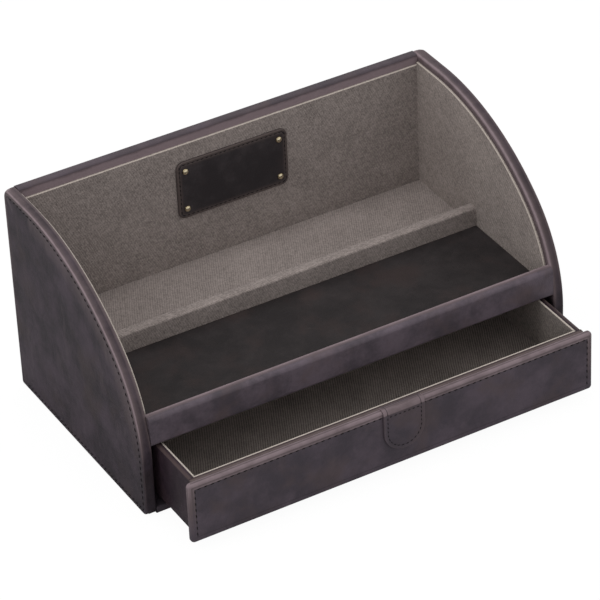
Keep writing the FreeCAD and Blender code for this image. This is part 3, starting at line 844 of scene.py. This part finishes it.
def rivets():
    """Four domed heads, each spun from its profile. Their rim attribute rises to the seat."""
    low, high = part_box("patch_rivets")
    seat_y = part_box("leather_patch")[0].y + RIVET_SUNK
    dome = seat_y - FLANGE - low.y
    shape = bmesh.new()
    for x in (low.x + RIVET, high.x - RIVET):
        for z in (low.z + RIVET, high.z - RIVET):
            centre = Vector((x, seat_y, z))
            profile = [centre + ACROSS * RIVET]
            for degrees in (0, 22, 45, 68, 90):
                angle = math.radians(degrees)
                profile.append(centre + ACROSS * RIVET * math.cos(angle)
                               - DEEP * (FLANGE + dome * math.sin(angle)))
            verts = [shape.verts.new(place) for place in profile]
            edges = [shape.edges.new(pair) for pair in zip(verts, verts[1:])]
            bmesh.ops.spin(shape, geom=verts + edges, cent=centre, axis=DEEP,
                           angle=2 * math.pi, steps=20, use_merge=True, use_duplicate=False)
    bmesh.ops.remove_doubles(shape, verts=shape.verts, dist=0.01 * MM)
    bmesh.ops.holes_fill(shape, edges=shape.edges, sides=24)
    rim = shape.verts.layers.float.new("rim")
    for vert in shape.verts:
        vert[rim] = (vert.co.y - low.y) / (seat_y - low.y)
    piece(shape, "rivets", "carcass", BRASS, ["patch_rivets"])


patch()
rivets()


# ---------------------------------------------------------------- the drawer

FACE_ROUND = 2.4 * MM      # corners of the face panel
FACE_EDGE = 1.9 * MM       # its front edges
FACE_STITCHES = 3.9 * MM   # stitching groove inside its outline
FACE_MARGIN = 4 * MM       # its paler margin, with wear and a painted highlight
FACE_FOOT = 5 * MM         # its foot, which has no stitches
SEAM_ROUND = 0.7 * MM      # its edges towards the seam
TRAY_ROUND = 1.2 * MM      # leather turned over a tray board's edge

face_low, face_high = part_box("drawer_front_leather")
face_depth = face_high.y - face_low.y


def face_edges(place):
    """The face panel's margin, paler towards the top, with wear and a painted highlight along the
    top.
    """
    margin = min(place.x - face_low.x, face_high.x - place.x,
                 place.z - face_low.z, face_high.z - place.z)
    if margin > FACE_MARGIN:
        return 0.0
    return 0.92 * (place.z - face_low.z) / (face_high.z - face_low.z)


def drawer_face():
    """The face panel's leather, stitched along its top and sides."""
    section = [*flat_rings(0.04 * MM), *groove(FACE_STITCHES, 0.8 * MM, 0.08 * MM, 0.12 * MM),
               *rounding(FACE_EDGE, 6, 0.05 * MM), *back_rounding(SEAM_ROUND, 3, face_depth)]
    shape, line = plate(face_low, face_high, section, FACE_ROUND, FACE_STITCHES)
    piece(shape, "drawer_face", "drawer", COVER, ["drawer_front_leather"],
          rub_and_highlight=face_edges)
    foot_z = face_low.z + FACE_FOOT
    row = [(place, along) for place, along in spaced(line, STITCH_PITCH) if place.z > foot_z]
    stitches("drawer_face_stitches", "drawer", row, -DEEP)


def tray_cover(name, outer_side, rubbed_and_lit=0.4):
    """The leather on one wall of the tray, with its top edge rounded on the outer side."""
    low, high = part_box(f"drawer_{name}_leather")
    shape = block(low, high)
    middle_of_wall = (low + high) / 2

    def outer_top(middle, along):
        return (near(middle.z, high.z) and (middle - middle_of_wall).dot(outer_side) > 0
                and abs(along.dot(outer_side)) < 0.1)

    round_off(shape, TRAY_ROUND, outer_top)
    piece(shape, f"drawer_{name}_cover", "drawer", TRAY,
          [f"drawer_{name}_leather"], rub_and_highlight=lambda place: rubbed_and_lit)


drawer_face()
tray_cover("wall", -DEEP, rubbed_and_lit=0.9)
tray_cover("left", -ACROSS)
tray_cover("right", ACROSS)
tray_cover("back", DEEP)


# ---------------------------------------------------------------- the pull tab

STRAP_THICK = 0.9 * MM
FLAP_THICK = 1.5 * MM
LIP_ROUND = 2.0 * MM       # the tab bends round the face panel's rounded edge
LIP_ARC = LIP_ROUND * math.pi / 2
TAB_EDGE = 0.5 * MM        # its front edges
TAB_STITCHES = 2.6 * MM    # stitching groove inside its outline
TAB_PITCH = 3.0 * MM
TAB_BORDER = 2.5 * MM      # its rubbed border
BEND_CUTS = 12             # cuts across the tab, from the seam to past the bend
BEND_STEP = 0.7 * MM

flap_low, flap_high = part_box("pull_tab_flap")
tab_half = (flap_high.x - flap_low.x) / 2
tab_x = (flap_high.x + flap_low.x) / 2
# A place on the flap is as far past this, along the tab from the seam, as it hangs below
# the face panel's top.
hang_start = face_depth + LIP_ARC - 2 * LIP_ROUND
tab_length = hang_start + flap_high.z - flap_low.z


def tab_place(place):
    """Bend a flat tab, laid out along its length, over the drawer front's edge.

    place.y is the distance from the seam behind the face panel and place.z the height
    over the panel's leather. The tab is thinner up to the bend and thickens round it.
    """
    bend_start = face_depth - LIP_ROUND
    past_start = max(place.y - bend_start, 0.0)
    angle = min(past_start / LIP_ROUND, math.pi / 2)
    thick = STRAP_THICK + (FLAP_THICK - STRAP_THICK) * min(past_start / LIP_ARC, 1.0)
    lift = place.z * thick / FLAP_THICK
    if place.y <= bend_start:
        return Vector((place.x, face_high.y - place.y, face_high.z + lift))
    radius = LIP_ROUND + lift
    y = face_low.y + LIP_ROUND - radius * math.sin(angle)
    z = face_high.z - LIP_ROUND + radius * math.cos(angle)
    return Vector((place.x, y, z - max(0.0, past_start - LIP_ARC)))


def tab_outline(shape, z, inset):
    """The tab laid flat: square at the seam, where its rings crowd, and half round at the tip."""
    seam_inset = inset * 0.25
    line = Outline(shape, (tab_x - tab_half + inset, seam_inset, z))
    line.to((tab_x - tab_half + inset, tab_length - tab_half, z))
    line.turn((tab_x, tab_length - tab_half, z), UP, -180, 28)
    line.to((tab_x + tab_half - inset, seam_inset, z))
    return line.close()


def tab_edges(place):
    """The tab's bend, pale with wear and a painted highlight, and less so its border."""
    if place.z > flap_high.z - TAB_BORDER:
        return 0.75
    outward = math.hypot(place.x - tab_x, min(place.z - flap_low.z - tab_half, 0.0))
    return 0.2 if outward > tab_half - TAB_BORDER else 0.0


def tab_stitches(border):
    """Stitches on the flap's front, along its border and in one row across."""
    reach = tab_half - 3.2 * MM
    across = [Vector((tab_x + side * reach, hang_start + FACE_STITCHES, FLAP_THICK))
              for side in (-1, 1)]
    row = []
    for line in (border, across):
        for place, along in spaced(line, TAB_PITCH, closed=False):
            bent, ahead = tab_place(place), tab_place(place + along * 0.1 * MM)
            if bent.z < flap_high.z - 0.6 * LIP_ROUND:
                row.append((bent, (ahead - bent).normalized()))
    stitches("pull_tab_stitches", "pull_tab", row, -DEEP, length=1.8 * MM, width=0.5 * MM)


def pull_tab():
    """The strap and the flap as one leather, made flat and bent over the edge."""
    back_edge = (FLAP_THICK - 0.2 * MM, 0.0), (FLAP_THICK, 0.2 * MM)
    section = [(0.0, 10.5 * MM), *groove(TAB_STITCHES, 0.7 * MM, 0.08 * MM, 0.06 * MM),
               *rounding(TAB_EDGE, 3), *back_edge]
    shape = bmesh.new()
    rings = [tab_outline(shape, FLAP_THICK - depth, inset) for depth, inset in section]
    border = line_at(rings, section, TAB_STITCHES)
    skin(shape, rings)
    for step in range(1, BEND_CUTS + 1):
        cut(shape, DEEP * (step * BEND_STEP), DEEP)
    for vert in shape.verts:
        vert.co = tab_place(vert.co)
    made = piece(shape, "pull_tab_leather", None, COVER,
                 ["pull_tab_strap", "pull_tab_flap"], rub_and_highlight=tab_edges)
    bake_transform(made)
    tab_stitches(border)


pull_tab()


# ---------------------------------------------------------------- the part's own meshes

BOARDS = ("left_cheek_board", "right_cheek_board", "back_board", "base_board",
          "front_rail_board", "shelf_board", "bay_bulkhead", "left_drawer_runner",
          "right_drawer_runner", "left_drawer_guide", "right_drawer_guide", "shelf_pad",
          "divider_board", "drawer_front_board", "drawer_wall_board", "drawer_bottom",
          "drawer_left_side", "drawer_right_side", "drawer_back")

nodes["rear_floor_lining"].material_slots[0].material = FLOOR_CLOTH
nodes["drawer_floor_lining"].material_slots[0].material = TRAY_FLOOR_CLOTH
nodes["base_felt"].material_slots[0].material = FELT
for name in BOARDS:
    nodes[name].material_slots[0].material = BOARD


# ---------------------------------------------------------------- camera, light and floor

BOX_MIDDLE = Vector((0, 0, 0.05))

scene = bpy.context.scene
scene.view_settings.view_transform = "Standard"

camera = bpy.data.objects.new("camera", bpy.data.cameras.new("camera"))
camera.location = (-0.86689, -1.58844, 1.30524)
camera.rotation_euler = [math.radians(angle) for angle in (55.2619, 2.2266, -30.3650)]
camera.data.lens = 218.95
camera.data.sensor_width = 36.0
camera.data.clip_end = 20.0
scene.collection.objects.link(camera)
scene.camera = camera


def softbox(name, place, size, power):
    """A large soft lamp that looks at the box."""
    lamp = bpy.data.lights.new(name, "AREA")
    lamp.shape = "RECTANGLE"
    lamp.size, lamp.size_y = size
    lamp.energy = power
    holder = bpy.data.objects.new(name, lamp)
    holder.location = place
    holder.rotation_euler = (BOX_MIDDLE - Vector(place)).to_track_quat("-Z", "Y").to_euler()
    scene.collection.objects.link(holder)


softbox("overhead_lamp", (0.0, 0.08, 2.3), (0.7, 0.6), 8.8)
softbox("left_lamp", (-1.63, 0.0, 1.68), (0.6, 0.6), 6.6)


def backdrop_paint(name, own_colour, shown_share, shown):
    """Pale paint that the camera sees mostly as plain white."""
    paint = new_paint(name)
    rays = paint.node("ShaderNodeLightPath", {}, {}, output="Is Camera Ray")
    diffuse = paint.node("ShaderNodeBsdfDiffuse", {}, {"Color": own_colour})
    glow = paint.node("ShaderNodeEmission", {}, {"Color": (shown,) * 3, "Strength": 1.0})
    blend = {0: rays * shown_share, 1: diffuse, 2: glow}
    surface = paint.node("ShaderNodeMixShader", {}, blend)
    paint.node("ShaderNodeOutputMaterial", {}, {"Surface": surface})
    return paint.owner


def stage_floor():
    """A plain pale floor that keeps the box's shadow."""
    shape = bmesh.new()
    bmesh.ops.create_grid(shape, x_segments=1, y_segments=1, size=6)
    mesh = bpy.data.meshes.new("floor")
    shape.to_mesh(mesh)
    shape.free()
    mesh.materials.append(backdrop_paint("floor_white", (0.6, 0.6, 0.6), 0.9, shown=1.06))
    floor = bpy.data.objects.new("floor", mesh)
    scene.collection.objects.link(floor)


def studio_world():
    """Even light from all round, in front of a backdrop that shows white."""
    scene.world = bpy.data.worlds.new("studio")
    sky = Paint(scene.world)
    white = (1.0, 1.0, 1.0)
    rays = sky.node("ShaderNodeLightPath", {}, {}, output="Is Camera Ray")
    ambient = sky.node("ShaderNodeBackground", {}, {"Color": white, "Strength": 0.84})
    backdrop = sky.node("ShaderNodeBackground", {}, {"Color": white, "Strength": 1.0})
    surface = sky.node("ShaderNodeMixShader", {}, {0: rays, 1: ambient, 2: backdrop})
    sky.node("ShaderNodeOutputWorld", {}, {"Surface": surface})


stage_floor()
studio_world()
